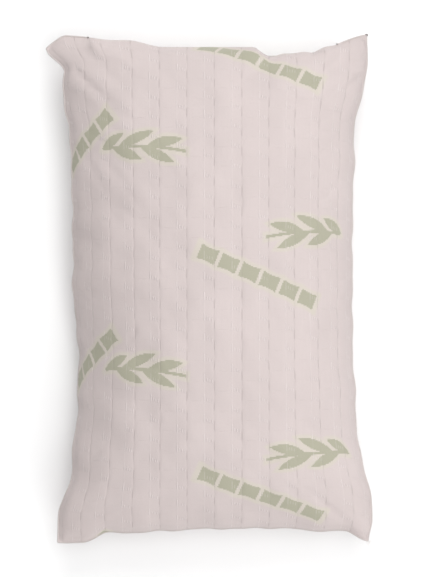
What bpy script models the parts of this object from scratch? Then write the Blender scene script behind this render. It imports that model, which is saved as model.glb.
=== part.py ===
"""A bed pillow: a zipped knitted cover round a stitched liner full of shredded foam.

The pillow lies on its back panel. +Z is up, +Y points to the zipped head end, and the origin is on the
surface that it lies on, under the middle of the pillow. Metres.
"""

import math

import bmesh
import bpy
from mathutils import Vector

# The filled pillow.
WIDTH = 0.447  # across a short end, from corner to corner
LENGTH = 0.711  # along a long side, from corner to corner
LOFT = 0.160  # thickness at the crown
SIDE_PULL_IN = 0.0280  # how far the filling draws each long side in at its middle
HEAD_PULL_IN = 0.032  # and the zipped short end
FOOT_PULL_IN = 0.024  # and the other short end
SIDE_FLARE_START = 0.45  # share of the half side that stays straight before the corner flares out
END_FLARE_START = 0.76
SEAM_HEIGHT = 0.072  # of the seam, above the surface that the pillow lies on
CORNER_DROOP = 0.012  # how much lower the empty corners hang
CROWN_X = 2.4  # exponents of the crown: higher is flatter on top and steeper at the seam
CROWN_Y = 3.2
REST_SPREAD = 1.25  # how much the underside is flattened by lying on a surface

# Cloth, and the gap that separate pieces keep.
COVER_CLOTH = 0.0015
LINER_CLOTH = 0.0008
GAP = 0.0003
SEAM_RADIUS = 0.0012  # of the overlocked ridge along the cover's seams
LINER_SEAM_RADIUS = 0.0010
CORNER_GAP = 0.0040  # a seam stops this far from the tip of its corner
LINER_ROOM = 0.0060  # between the cover's inside and the liner
LINER_HEAD_ROOM = 0.0060  # and what it keeps back from the zip besides
FOAM_ROOM = 0.0010  # between the liner's inside and the foam
LABEL_WIDTH = 0.050
LABEL_LENGTH = 0.075
LABEL_CLOTH = 0.0004

# The zip across the head end. It faces +Y, and its chain runs along X.
ZIP_MOUTH = 0.0120  # height between the two folded edges of the cover
TAPE_CLOTH = 0.0005
TAPE_OVERLAP = 0.04  # of a tape behind the cover's edge, as a share of the crown's height over the seam
TAPE_DEPTH = 0.0016  # how far the tape lies behind the inside of the cover's edge
CHAIN_THICK = 0.0022
CHAIN_REACH = 0.0030  # half the width of the closed chain
TOOTH_PITCH = 0.0040
TOOTH_WIDTH = 0.0016
TOOTH_REACH = 0.0008  # how far a tooth reaches past the middle of the chain
BARTACK_LENGTH = 0.0020
STITCH_RADIUS = 0.0004
STITCH_MARGIN = 0.0020  # from the cover's folded edge to the line of stitches

# The slider and its pull tab.
SLIDER_LENGTH = 0.0120
SLIDER_PLATE = 0.0012
SLIDER_FLANGE = 0.0010
SLIDER_FREE = 0.0004  # clearance to the chain and to the tape
NECK_LENGTH = 0.0035  # the post that joins the slider's two plates, and parts the chain
NECK_WIDTH = 0.0018
STOP_LENGTH = 0.0028
BAIL_THICK = 0.0018
BAIL_BAR = 0.0010
BAIL_SPAN = 0.0044  # inside, along the slider
BAIL_ROOM = 0.0020  # inside height, which holds the tab's end bar
TAB_LENGTH = 0.0230
TAB_WIDTH = 0.0066
TAB_THICK = 0.0012
TAB_EDGE = 0.0003

# Grid lines from the middle of a panel to its edge, and how strongly they crowd towards the seam.
COVER_LINES = (9, 12)
LINER_LINES = (6, 9)
CROWDING = (1.8, 1.8)

# Sizes that follow from those above.
HALF_WIDTH = WIDTH / 2
HALF_LENGTH = LENGTH / 2
LINER_INSET = COVER_CLOTH + LINER_ROOM
FOAM_INSET = LINER_INSET + LINER_CLOTH + FOAM_ROOM
HEAD_Y = HALF_LENGTH - HEAD_PULL_IN  # the outside of the cover along the zip
TAPE_Y = HEAD_Y - COVER_CLOTH - TAPE_DEPTH  # the tape's outer face
CHAIN_Y = TAPE_Y + GAP
CHAIN_TOP_Y = CHAIN_Y + CHAIN_THICK
MOUTH_HALF = END_FLARE_START * HALF_WIDTH  # the mouth is full as far as the end of the straight stretch
MOUTH_TAPER = 0.018
TAPE_HALF = MOUTH_HALF - 0.007
TAPE_REACH = ZIP_MOUTH / 2 + TAPE_OVERLAP * (LOFT - SEAM_HEIGHT)  # from the middle of the chain
ZIP_HALF = TAPE_HALF - 0.001
SLIDER_X = ZIP_HALF - 0.022  # middle of the slider when the zip is closed
CHAIN_START_X = -SLIDER_X
NECK_X = SLIDER_X + 0.0018
CHAIN_END_X = NECK_X - GAP
TOP_PLATE_Y = CHAIN_TOP_Y + SLIDER_FREE
TOP_FACE_Y = TOP_PLATE_Y + SLIDER_PLATE
BOTTOM_PLATE_Y = TAPE_Y - TAPE_CLOTH - SLIDER_FREE
TAPE_PARTING = NECK_WIDTH / 2 + SLIDER_FREE  # the tapes stop short of the slider's neck, which runs between them
FLANGE_Z = CHAIN_REACH + SLIDER_FREE
SLIDER_Z = FLANGE_Z + SLIDER_FLANGE
TAB_AXIS_Y = TOP_FACE_Y + BAIL_ROOM / 2
TAB_EYE_START = TAB_THICK / 2
TAB_EYE_END = math.hypot(BAIL_SPAN / 2 + BAIL_BAR, BAIL_ROOM / 2 + BAIL_BAR) + SLIDER_FREE
TAB_EYE_HALF = BAIL_THICK / 2 + SLIDER_FREE


def material(name, colour, roughness, metallic=0.0):
    made = bpy.data.materials.new(name)
    made.use_nodes = True
    shader = made.node_tree.nodes["Principled BSDF"]
    shader.inputs["Base Color"].default_value = (*colour, 1.0)
    shader.inputs["Roughness"].default_value = roughness
    shader.inputs["Metallic"].default_value = metallic
    made.diffuse_color = (*colour, 1.0)
    return made


def place(name, data, slot, parent=None):
    """Adds an object of this data to the scene, with its material."""
    obj = bpy.data.objects.new(name, data)
    data.materials.append(slot)
    obj.parent = parent
    bpy.context.scene.collection.objects.link(obj)
    return obj


def mesh_from(name, bm):
    """A mesh of this closed body, with its faces turned outwards."""
    bmesh.ops.recalc_face_normals(bm, faces=bm.faces)
    if bm.calc_volume(signed=True) < 0:
        bmesh.ops.reverse_faces(bm, faces=bm.faces)
    mesh = bpy.data.meshes.new(name)
    bm.to_mesh(mesh)
    bm.free()
    return mesh


def shade_round(obj):
    obj.data.shade_smooth()
    obj.data.set_sharp_from_angle(angle=math.radians(40))


def bevel(obj, width, segments=2):
    made = obj.modifiers.new("edges", "BEVEL")
    made.width = width
    made.segments = segments
    made.limit_method = "ANGLE"
    made.harden_normals = False


# The pillow's surface. s runs from -1 to 1 across it and t from -1 to 1 along it, seam to seam.


def flare(share, start):
    """0 along the middle of a side, rising to 1 at its corner."""
    return max(0.0, (abs(share) - start) / (1 - start)) ** 2


def side_flare(y):
    return flare(y / HALF_LENGTH, SIDE_FLARE_START)


def end_flare(x):
    return flare(x / HALF_WIDTH, END_FLARE_START)


def seam_z(x, y):
    return SEAM_HEIGHT - CORNER_DROOP * end_flare(x) * side_flare(y)


def outline_point(s, t, inset):
    """X and Y at these shares of the outline that lies inset from the cover's edge."""
    from_head = LINER_HEAD_ROOM if inset > COVER_CLOTH and t > 0 else 0.0
    pull_in = HEAD_PULL_IN if t > 0 else FOOT_PULL_IN
    x, y = s * HALF_WIDTH, t * HALF_LENGTH
    for _ in range(6):
        x = s * (HALF_WIDTH - SIDE_PULL_IN * (1 - side_flare(y)) - inset)
        y = t * (HALF_LENGTH - pull_in * (1 - end_flare(x)) - inset - from_head)
    return x, y


def crown(s, t):
    """0 at the seam, 1 over the middle of the pillow."""
    across = max(0.0, 1 - abs(s) ** CROWN_X)
    along = max(0.0, 1 - abs(t) ** CROWN_Y)
    return math.sqrt(across * along)


def zip_parting(x, t):
    """How far the cover's edge stands off the seam's height, to leave the zip's mouth at the head end."""
    across = 1 - (abs(x) - MOUTH_HALF) / MOUTH_TAPER
    along = (t - 0.6) / 0.4
    return ZIP_MOUTH / 2 * min(1.0, max(0.0, across)) * max(0.0, along) ** 2


def cloth_point(s, t, inset, top, parting):
    """A point of a layer that lies inset from the cover's outside, on the pillow's top or its underside."""
    x, y = outline_point(s, t, inset)
    off_seam = GAP / 2 + (zip_parting(x, t) if parting else 0.0)
    if top:
        rim = seam_z(x, y) + off_seam
        return Vector((x, y, rim + (LOFT - inset - rim) * crown(s, t)))
    rim = seam_z(x, y) - off_seam
    return Vector((x, y, rim - (rim - inset) * min(1.0, REST_SPREAD * crown(s, t))))


def grid_lines(count, crowding):
    """Shares from -1 to 1 that lie closer together towards both ends."""
    half = [1 - (1 - i / count) ** crowding for i in range(1, count + 1)]
    return [-v for v in reversed(half)] + [0.0] + half


def layer(lines, inset, top, parting=False):
    across, along = (grid_lines(n, c) for n, c in zip(lines, CROWDING))
    return [[cloth_point(s, t, inset, top, parting) for t in along] for s in across]


def edge_loop(rows):
    """The cells round the edge of a grid, in order."""
    last_i, last_j = len(rows) - 1, len(rows[0]) - 1
    return (
        [(i, 0) for i in range(last_i)]
        + [(last_i, j) for j in range(last_j)]
        + [(i, last_j) for i in range(last_i, 0, -1)]
        + [(0, j) for j in range(last_j, 0, -1)]
    )


def add_faces(bm, rows):
    """Fills a grid with triangles whose long sides point from its middle towards its corners."""
    for i in range(len(rows) - 1):
        for j in range(len(rows[0]) - 1):
            cell = [rows[i][j], rows[i + 1][j], rows[i + 1][j + 1], rows[i][j + 1]]
            same_side = (2 * i + 2 > len(rows)) == (2 * j + 2 > len(rows[0]))
            a, b, c, d = cell if same_side else cell[1:] + cell[:1]
            bm.faces.new((a, b, c))
            bm.faces.new((a, c, d))


def panel(name, outer, inner, slot):
    """A sheet of cloth between two grids of points, closed round its edge."""
    bm = bmesh.new()
    sides = [[[bm.verts.new(p) for p in row] for row in rows] for rows in (outer, inner)]
    for rows in sides:
        add_faces(bm, rows)
    loop = edge_loop(outer)
    for (i, j), (k, m) in zip(loop, loop[1:] + loop[:1]):
        bm.faces.new((sides[0][i][j], sides[0][k][m], sides[1][k][m], sides[1][i][j]))
    obj = place(name, mesh_from(name, bm), slot)
    shade_round(obj)
    return obj


def filled(name, top, bottom, slot):
    """One solid between a top and a bottom grid, whose edges meet."""
    bm = bmesh.new()
    rows = [[bm.verts.new(p) for p in row] for row in top]
    add_faces(bm, rows)
    on_edge = set(edge_loop(top))
    under = [
        [rows[i][j] if (i, j) in on_edge else bm.verts.new(p) for j, p in enumerate(row)]
        for i, row in enumerate(bottom)
    ]
    add_faces(bm, under)
    obj = place(name, mesh_from(name, bm), slot)
    shade_round(obj)
    return obj


def seam_path(side, start, end, inset, lines):
    """Points just outside the cloth's edge, along one side of it, between two shares of that side."""
    radius = SEAM_RADIUS if inset == 0 else LINER_SEAM_RADIUS

    def edge(share):
        s, t = {"right": (1, share), "left": (-1, share), "head": (share, 1), "foot": (share, -1)}[side]
        x, y = outline_point(s, t, inset)
        return Vector((x, y, seam_z(x, y)))

    count, crowding = (lines[0], CROWDING[0]) if side in ("head", "foot") else (lines[1], CROWDING[1])
    shares = grid_lines(count, crowding)
    corners = [edge(v) for v in shares]

    def on_edge(share):
        i = max(k for k in range(len(shares) - 1) if shares[k] <= share)
        return corners[i].lerp(corners[i + 1], (share - shares[i]) / (shares[i + 1] - shares[i]))

    stops = [start] + [v for v in shares if start < v < end] + [end]
    points = [on_edge(v) for v in stops]
    moved = []
    for i, here in enumerate(points):
        step = points[min(i + 1, len(points) - 1)] - points[max(i - 1, 0)]
        out = Vector((step.y, -step.x, 0.0)).normalized()
        if out.dot(here) < 0:
            out.negate()
        moved.append(here + out * (radius + GAP))
    return moved


def tube(name, points, radius, slot, resolution=2):
    curve = bpy.data.curves.new(name, "CURVE")
    curve.dimensions = "3D"
    spline = curve.splines.new("POLY")
    spline.points.add(len(points) - 1)
    for target, p in zip(spline.points, points):
        target.co = (*p, 1.0)
    curve.bevel_depth = radius
    curve.bevel_resolution = resolution
    curve.use_fill_caps = True
    return place(name, curve, slot)


def prism(name, outline, low, high, slot, axis="Y"):
    """An outline extruded along an axis. Its points are (X, Z) for axis Y, and (X, Y) for axis Z."""
    bm = bmesh.new()
    if axis == "Y":
        ends = [[bm.verts.new((u, w, v)) for u, v in outline] for w in (low, high)]
    else:
        ends = [[bm.verts.new((u, v, w)) for u, v in outline] for w in (low, high)]
    for loop in ends:
        bm.faces.new(loop)
    for i in range(len(outline)):
        k = (i + 1) % len(outline)
        bm.faces.new((ends[0][i], ends[0][k], ends[1][k], ends[1][i]))
    return place(name, mesh_from(name, bm), slot)


def block(name, low, high, slot):
    outline = [(low[0], low[2]), (high[0], low[2]), (high[0], high[2]), (low[0], high[2])]
    return prism(name, outline, low[1], high[1], slot)


def combine(target, other, operation):
    """Joins another solid to the target, or cuts it out."""
    made = target.modifiers.new(other.name, "BOOLEAN")
    made.operation = operation
    made.object = other
    made.solver = "EXACT"
    other.hide_render = True
    other.display_type = "WIRE"


# The sewn pieces.


def make_cover(knit, thread):
    for name, top in (("cover_front_panel", True), ("cover_back_panel", False)):
        outer = layer(COVER_LINES, 0.0, top, parting=True)
        inner = layer(COVER_LINES, COVER_CLOTH, top, parting=True)
        panel(name, outer, inner, knit)
    tip_x = 1 - CORNER_GAP / HALF_WIDTH
    tip_y = 1 - CORNER_GAP / HALF_LENGTH
    mouth_x, _ = outline_point(END_FLARE_START, 1.0, 0.0)
    zip_end = (TAPE_HALF + BARTACK_LENGTH + 3 * GAP) * END_FLARE_START / mouth_x
    stretches = (
        ("cover_seam_right", "right", -tip_y, tip_y),
        ("cover_seam_left", "left", -tip_y, tip_y),
        ("cover_seam_foot", "foot", -tip_x, tip_x),
        ("cover_seam_head_right", "head", zip_end, tip_x),
        ("cover_seam_head_left", "head", -tip_x, -zip_end),
    )
    for name, side, start, end in stretches:
        tube(name, seam_path(side, start, end, 0.0, COVER_LINES), SEAM_RADIUS, thread)


def make_liner(liner_cloth, thread, label_cloth, foam):
    for name, top in (("liner_front_panel", True), ("liner_back_panel", False)):
        outer = layer(LINER_LINES, LINER_INSET, top)
        inner = layer(LINER_LINES, LINER_INSET + LINER_CLOTH, top)
        panel(name, outer, inner, liner_cloth)
    tip_x = 1 - 2 * CORNER_GAP / HALF_WIDTH
    tip_y = 1 - 2 * CORNER_GAP / HALF_LENGTH
    for side, tip in (("right", tip_y), ("left", tip_y), ("foot", tip_x), ("head", tip_x)):
        path = seam_path(side, -tip, tip, LINER_INSET, LINER_LINES)
        tube(f"liner_seam_{side}", path, LINER_SEAM_RADIUS, thread)
    filled(
        "foam_fill",
        layer(LINER_LINES, FOAM_INSET, True),
        layer(LINER_LINES, FOAM_INSET, False),
        foam,
    )
    make_label(label_cloth)


def make_label(label_cloth):
    """A blank label that lies on the liner, with one end at the liner's foot seam."""
    lowest = LINER_INSET - GAP - LABEL_CLOTH
    across = [LABEL_WIDTH / HALF_WIDTH * (i / 4 - 0.5) for i in range(5)]
    foot = 0.96
    along = [-foot + LABEL_LENGTH / HALF_LENGTH * j / 6 for j in range(7)]
    sides = [
        [[cloth_point(s, t, inset, True, False) for t in along] for s in across]
        for inset in (lowest, lowest + LABEL_CLOTH)
    ]
    panel("liner_label", *sides, label_cloth)


# The zip.


def make_tapes(tape_cloth, thread):
    for name, sign in (("upper", 1), ("lower", -1)):
        near, far = sorted((SEAM_HEIGHT + sign * TAPE_PARTING, SEAM_HEIGHT + sign * TAPE_REACH))
        low = (-TAPE_HALF, TAPE_Y - TAPE_CLOTH, near)
        high = (TAPE_HALF, TAPE_Y, far)
        block(f"zip_tape_{name}", low, high, tape_cloth)
        stitch_z = SEAM_HEIGHT + sign * (ZIP_MOUTH / 2 + STITCH_MARGIN)
        stitch_y = HEAD_Y + STITCH_RADIUS + GAP
        ends = [Vector((x, stitch_y, stitch_z)) for x in (-ZIP_HALF, 0.0, ZIP_HALF)]
        tube(f"zip_stitching_{name}", ends, STITCH_RADIUS, thread)
    reach = ZIP_MOUTH / 2 + STITCH_MARGIN / 2
    for name, sign in (("right", 1), ("left", -1)):
        near, far = sorted((sign * (TAPE_HALF + GAP), sign * (TAPE_HALF + GAP + BARTACK_LENGTH)))
        low = (near, HEAD_Y + GAP, SEAM_HEIGHT - reach)
        high = (far, HEAD_Y + GAP + 2 * STITCH_RADIUS, SEAM_HEIGHT + reach)
        block(f"zip_bartack_{name}", low, high, thread)


def make_chain(name, sign, first_tooth_x, slot):
    """Half of the chain: a straight back with teeth that reach past the middle, into the other half's gaps."""
    spine = TOOTH_REACH + GAP
    edges = [CHAIN_START_X]
    x = first_tooth_x
    while x + TOOTH_WIDTH < CHAIN_END_X:
        edges += [x, x + TOOTH_WIDTH]
        x += TOOTH_PITCH
    edges.append(CHAIN_END_X)
    bm = bmesh.new()
    levels = {
        z: [bm.verts.new((u, CHAIN_Y, SEAM_HEIGHT + sign * z)) for u in edges]
        for z in (CHAIN_REACH, spine)
    }
    for i in range(len(edges) - 1):
        top, low = levels[CHAIN_REACH], levels[spine]
        bm.faces.new((top[i], top[i + 1], low[i + 1], low[i]))
        if i % 2:
            tips = [bm.verts.new((edges[k], CHAIN_Y, SEAM_HEIGHT - sign * TOOTH_REACH)) for k in (i, i + 1)]
            bm.faces.new((low[i], low[i + 1], tips[1], tips[0]))
    made = bmesh.ops.extrude_face_region(bm, geom=list(bm.faces))
    raised = [v for v in made["geom"] if isinstance(v, bmesh.types.BMVert)]
    bmesh.ops.translate(bm, vec=(0.0, CHAIN_THICK, 0.0), verts=raised)
    place(name, mesh_from(name, bm), slot)


def make_stops(metal):
    high_y = CHAIN_TOP_Y
    start = NECK_X + 2 * GAP
    for name, sign in (("upper", 1), ("lower", -1)):
        near, far = sorted((SEAM_HEIGHT + sign * TAPE_PARTING, SEAM_HEIGHT + sign * CHAIN_REACH))
        block(
            f"zip_top_stop_{name}",
            (start, CHAIN_Y, near),
            (start + STOP_LENGTH, high_y, far),
            metal,
        )
    end = CHAIN_START_X - GAP
    low = (end - STOP_LENGTH, CHAIN_Y, SEAM_HEIGHT - CHAIN_REACH)
    bevel(block("zip_bottom_stop", low, (end, high_y, SEAM_HEIGHT + CHAIN_REACH), metal), TAB_EDGE, 1)


def slider_outline():
    """The slider's plates, seen along Y: round shoulders at its mouth, on the +X side, and a narrower tail."""
    tail = SLIDER_Z * 0.94
    half = SLIDER_LENGTH / 2
    side = [
        (-half, tail * 0.62),
        (-half * 0.86, tail * 0.94),
        (-half * 0.4, tail),
        (half * 0.3, SLIDER_Z),
        (half * 0.72, SLIDER_Z * 0.94),
        (half, SLIDER_Z * 0.55),
    ]
    both = side + [(x, -z) for x, z in reversed(side)]
    return [(SLIDER_X + x, SEAM_HEIGHT + z) for x, z in both]


def make_slider(metal, parent):
    outline = slider_outline()
    body = prism("zip_slider_body", outline, TOP_PLATE_Y, TOP_FACE_Y, metal)
    body.parent = parent
    bottom = prism("bottom_plate", outline, BOTTOM_PLATE_Y - SLIDER_PLATE, BOTTOM_PLATE_Y, metal)
    bite = SLIDER_PLATE / 2
    half_neck = NECK_WIDTH / 2
    neck_outline = [
        (NECK_X, SEAM_HEIGHT),
        (NECK_X + NECK_LENGTH / 2, SEAM_HEIGHT + half_neck),
        (NECK_X + NECK_LENGTH, SEAM_HEIGHT),
        (NECK_X + NECK_LENGTH / 2, SEAM_HEIGHT - half_neck),
    ]
    neck = prism("neck", neck_outline, BOTTOM_PLATE_Y - bite, TOP_PLATE_Y + bite, metal)
    joined = [bottom, neck]
    for name, sign in (("upper_flange", 1), ("lower_flange", -1)):
        near, far = sorted((SEAM_HEIGHT + sign * FLANGE_Z, SEAM_HEIGHT + sign * (SLIDER_Z - 0.0003)))
        low = (SLIDER_X - SLIDER_LENGTH * 0.36, TAPE_Y + SLIDER_FREE, near)
        joined.append(block(name, low, (SLIDER_X + SLIDER_LENGTH * 0.3, TOP_PLATE_Y + bite, far), metal))
    joined.append(make_bail(metal, bite))
    for other in joined:
        combine(body, other, "UNION")
    return body


def make_bail(metal, bite):
    """The bridge on the slider's face that holds the pull tab's end bar."""
    half = BAIL_SPAN / 2
    foot, roof = TOP_FACE_Y - bite, TOP_FACE_Y + BAIL_ROOM
    outline = [
        (half, foot),
        (half, roof),
        (-half, roof),
        (-half, foot),
        (-half - BAIL_BAR, foot),
        (-half - BAIL_BAR, roof + BAIL_BAR * 0.4),
        (-half, roof + BAIL_BAR),
        (half, roof + BAIL_BAR),
        (half + BAIL_BAR, roof + BAIL_BAR * 0.4),
        (half + BAIL_BAR, foot),
    ]
    low, high = SEAM_HEIGHT - BAIL_THICK / 2, SEAM_HEIGHT + BAIL_THICK / 2
    return prism("bail", [(SLIDER_X + x, y) for x, y in outline], low, high, metal, axis="Z")


def make_tab(metal, parent):
    """A flat tab that lies along the chain, towards -X. Its end bar passes under the bail, on the joint's axis."""
    half = TAB_WIDTH / 2
    arm = TAB_EYE_HALF + 0.0012
    side = [
        (TAB_THICK / 2, arm),
        (-TAB_EYE_END, arm),
        (-TAB_EYE_END - 0.0030, half),
        (-TAB_LENGTH + 0.0030, half),
        (-TAB_LENGTH + 0.0008, half * 0.74),
        (-TAB_LENGTH, half * 0.35),
    ]
    outline = side + [(x, -z) for x, z in reversed(side)]
    tab = prism("zip_pull_tab", outline, -TAB_THICK / 2, TAB_THICK / 2, metal)
    low = (-TAB_EYE_END, -TAB_THICK, -TAB_EYE_HALF)
    eye = block("tab_eye", low, (-TAB_EYE_START, TAB_THICK, TAB_EYE_HALF), metal)
    tab.parent = eye.parent = parent
    combine(tab, eye, "DIFFERENCE")
    bevel(tab, TAB_EDGE)


def pivot(name, place_at, parent=None):
    empty = bpy.data.objects.new(name, None)
    empty.location = place_at
    empty.parent = parent
    bpy.context.scene.collection.objects.link(empty)
    return empty


def make_zip(tape_cloth, thread, nylon, metal):
    make_tapes(tape_cloth, thread)
    first = CHAIN_START_X + TOOTH_PITCH / 2
    make_chain("zip_chain_upper", 1, first, nylon)
    make_chain("zip_chain_lower", -1, first + TOOTH_PITCH / 2, nylon)
    make_stops(metal)
    travel = pivot("slider_travel", (0.0, 0.0, 0.0))
    make_slider(metal, travel)
    make_tab(metal, pivot("tab_swing", (SLIDER_X, TAB_AXIS_Y, SEAM_HEIGHT), travel))


def main():
    for obj in list(bpy.data.objects):
        bpy.data.objects.remove(obj)
    knit = material("cover_knit", (0.72, 0.63, 0.62), 0.9)
    thread = material("seam_thread", (0.84, 0.80, 0.78), 0.8)
    liner_cloth = material("liner_cloth", (0.88, 0.88, 0.86), 0.85)
    label_cloth = material("label_satin", (0.92, 0.92, 0.92), 0.5)
    foam = material("shredded_foam", (0.90, 0.86, 0.74), 0.95)
    tape_cloth = material("zip_tape", (0.86, 0.84, 0.82), 0.8)
    nylon = material("zip_nylon", (0.88, 0.87, 0.85), 0.45)
    metal = material("zip_metal", (0.55, 0.53, 0.52), 0.35, 1.0)
    make_cover(knit, thread)
    make_liner(liner_cloth, thread, label_cloth, foam)
    make_zip(tape_cloth, thread, nylon, metal)


main()
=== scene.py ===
"""The looks of the bed pillow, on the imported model's frame.

The cover is two sheets of knit, cut flat and inflated by a cloth simulation between seams that follow
the pillow's outline. The knit's relief, the seams, the zip, the liner and the filling are built on it.

Sizes are in metres. A share is a place on a panel, across (s) or along (t), from -1 to 1, seam to seam.
A place on the cloth is measured in metres on the cloth itself, from the panel's middle.
"""

import math

import bpy
import numpy as np
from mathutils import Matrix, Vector


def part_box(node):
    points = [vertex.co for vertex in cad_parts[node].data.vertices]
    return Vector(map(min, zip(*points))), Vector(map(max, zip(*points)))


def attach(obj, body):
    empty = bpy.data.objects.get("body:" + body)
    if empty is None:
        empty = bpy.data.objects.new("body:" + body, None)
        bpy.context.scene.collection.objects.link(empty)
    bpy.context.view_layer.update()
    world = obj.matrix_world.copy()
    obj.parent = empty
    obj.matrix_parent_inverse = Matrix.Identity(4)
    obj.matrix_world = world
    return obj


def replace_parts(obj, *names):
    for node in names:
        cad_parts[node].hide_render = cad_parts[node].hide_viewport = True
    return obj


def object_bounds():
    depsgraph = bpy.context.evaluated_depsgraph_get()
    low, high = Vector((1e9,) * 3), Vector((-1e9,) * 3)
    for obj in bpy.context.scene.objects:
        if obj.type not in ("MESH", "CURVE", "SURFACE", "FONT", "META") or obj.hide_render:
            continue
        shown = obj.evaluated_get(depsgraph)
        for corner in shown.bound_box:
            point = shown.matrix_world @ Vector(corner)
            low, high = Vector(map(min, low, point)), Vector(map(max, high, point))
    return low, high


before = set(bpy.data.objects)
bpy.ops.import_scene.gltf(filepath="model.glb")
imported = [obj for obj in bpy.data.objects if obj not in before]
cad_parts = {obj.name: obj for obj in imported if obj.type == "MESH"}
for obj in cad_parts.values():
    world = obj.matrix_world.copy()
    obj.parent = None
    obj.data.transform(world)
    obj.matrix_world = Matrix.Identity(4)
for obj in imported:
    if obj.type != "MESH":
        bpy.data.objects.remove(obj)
cad_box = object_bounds()

# The cover, cut flat.
CUT_WIDTH = 0.457
CUT_LENGTH = 0.711

# The filled pillow's outline at its seam, without the bulge of the cloth past it.
LEFT_WAIST = 0.1865
RIGHT_WAIST = 0.1930
HEAD_WAIST = 0.3335
FOOT_WAIST = 0.3305
LOFT = cad_box[1][2] - 0.002
SIDE_SEAM_Z = 0.058
CORNER_SEAM_Z = 0.054
LEFT_HEAD_TIP_LIFT = 0.012
LEFT_FLANK_DROP = 0.026
EDGE_REACH = 7  # the higher, the less far an edge's shape reaches into a panel
HEAD_EDGE_REACH = 24

# The zip's mouth in the head end, between the cover's two folded edges.
TAPE_LOW, TAPE_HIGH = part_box("zip_tape_upper")
ZIP_Z = sum(corner[2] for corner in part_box("zip_slider_body")) / 2
MOUTH_HALF = TAPE_HIGH[0] + 0.001
MOUTH_TAPER = 0.010
MOUTH_RISE = 0.0065  # of each folded edge, over or under the middle of the zip
HEM_DEPTHS = (0.0006, 0.0020, 0.0045)  # from the folded edge back into the pillow
HEM_END = TAPE_HIGH[1] + 0.0004
SEAM_START = MOUTH_HALF + MOUTH_TAPER * 0.75  # where the mouth is all but closed
BARTACK_HALF = 0.0036

# The seams' ridge and overlocking, and the topstitching beside the mouth.
RIDGE_RADIUS = 0.0011
OVERLOCK_RADIUS = 0.0013
OVERLOCK_PITCH = 0.0030
OVERLOCK_THREAD = 0.00028
TOPSTITCH_INSET = 0.0055
TOPSTITCH_LENGTH = 0.0026
TOPSTITCH_GAP = 0.0006
TOPSTITCH_THREAD = 0.00022

# The zip's coils and tapes.
COIL_WIRE = 0.00034
COIL_PITCH = 0.0015
COIL_STEPS = 10  # to a turn
TAPE_CLOTH = 0.0004

# The layers inside: how far in from the cover's seam, and how far under its panels.
LINER_INSET = 0.014
LINER_GAP = 0.006
LINER_CLOTH = 0.0005
FOAM_INSET = 0.020
FOAM_GAP = 0.010
BEHIND_ZIP = 0.012  # what both keep back from the head end besides

# The simulation's cells, and its length.
CELLS_ACROSS = 56
CELLS_ALONG = 88
LAST_FRAME = 20

# The knit: a brickwork of soft blisters. Each column has a deep groove on its right side and a shallow one
# beside it, and a comb of short ribs joins the two at each brick's corner.
BRICK_WIDTH = 0.0368
BRICK_LENGTH = 0.0272
SECOND_GROOVE = 0.0138  # to the left of the deep one
PUFF = 0.00013
DEEP = 0.00030
SHALLOW = 0.00018
LEVEL = 0.00007
CLOTH = 0.0010
COMB_TEETH = 3
COMB_RIB = 0.0042  # length of a rib
COMB_STEP = 0.0010  # how much lower each rib is than the one to its left
STITCH = 0.0016

# Where a finished panel has its mesh lines, from each groove (across) and from each brick's end (along).
LINES_ACROSS = (-0.0152, -0.0138, -0.0126, -0.0085, -0.0045, -0.0018, -0.0007)
LINES_ACROSS += (0.0, 0.0007, 0.0018, 0.0045, 0.0090, 0.0140, 0.0185)
LINES_ALONG = (-0.0042, -0.0013, 0.0, 0.0013, 0.0042)

# The blank label on the liner.
LABEL_WIDTH = 0.050
LABEL_LENGTH = 0.075

# The woven motifs: a row of cane joints and a leafy twig, each also mirrored. Places are across and along
# on the cloth, and the slant in degrees.
MOTIF_REPEAT = 0.300
CANE_JOINTS = 6
CANE_PITCH = 0.0300
CANE_HALF_WIDTH = 0.0112
CANE_PLACE = (0.060, 0.016, -23.5)
TWIG_PLACE = (0.129, 0.077, 3.0)
MIRRORED_CANE_PLACE = (-0.214, 0.186, 37.0)
MIRRORED_TWIG_PLACE = (-0.098, 0.192, -3.0)
HALO = 0.0050

# Half the floor's width, and the camera's height and the height of what it sees.
FLOOR = 20.0
CAMERA_HEIGHT = 2.265
CAMERA_DISTANCE = 2.2  # to the plane of the seam
CAMERA_SEES = 0.797
CAMERA_SENSOR = 24.0  # millimetres

# The knit's colours.
KNIT = (0.600, 0.526, 0.514)
KNIT_SHADE = (0.568, 0.498, 0.487)
# Painted highlight for the combs' ribs and the shallow grooves beside the deep ones.
KNIT_PAINTED_HIGHLIGHT = (0.760, 0.700, 0.690)
# Painted shade for the knit's grooves, also used to darken some yarns at random.
PAINTED_SHADE_AND_YARN_TONE = (0.440, 0.380, 0.370)
MOTIF_GREEN = (0.385, 0.375, 0.290)
MOTIF_CREAM = (0.585, 0.545, 0.465)


# The outline. Each function gives how far an edge lies from the middle, at a share of its length: s runs
# from -1 on the left to 1 on the right, and t from -1 at the foot to 1 at the head.


def ease(start, end, x):
    k = np.clip((x - start) / (end - start), 0.0, 1.0)
    return k * k * (3 - 2 * k)


def bump(x, middle, width):
    return np.exp(-(((x - middle) / width) ** 2))


def left_edge(t):
    """A narrow waist below the middle, a dog ear towards the foot, and a tip swept out at the head."""
    waist = 0.0069 * ease(-0.20, 0.32, t) + 0.0026 * ease(0.35, 0.60, t) + 0.0015 * ease(0.30, 0.40, -t)
    waist += 0.0050 * bump(t, -0.04, 0.15)
    head = 0.009 * ease(0.63, 0.77, t) + 0.0236 * ease(0.90, 1.0, t)
    foot = 0.0067 * ease(0.56, 0.66, -t) + 0.0193 * ease(0.765, 0.90, -t)
    wavy = 0.0010 * np.sin(31 * t + 1.0) + 0.0006 * np.sin(53 * t)
    return -(LEFT_WAIST + waist + head + foot + wavy)


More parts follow.
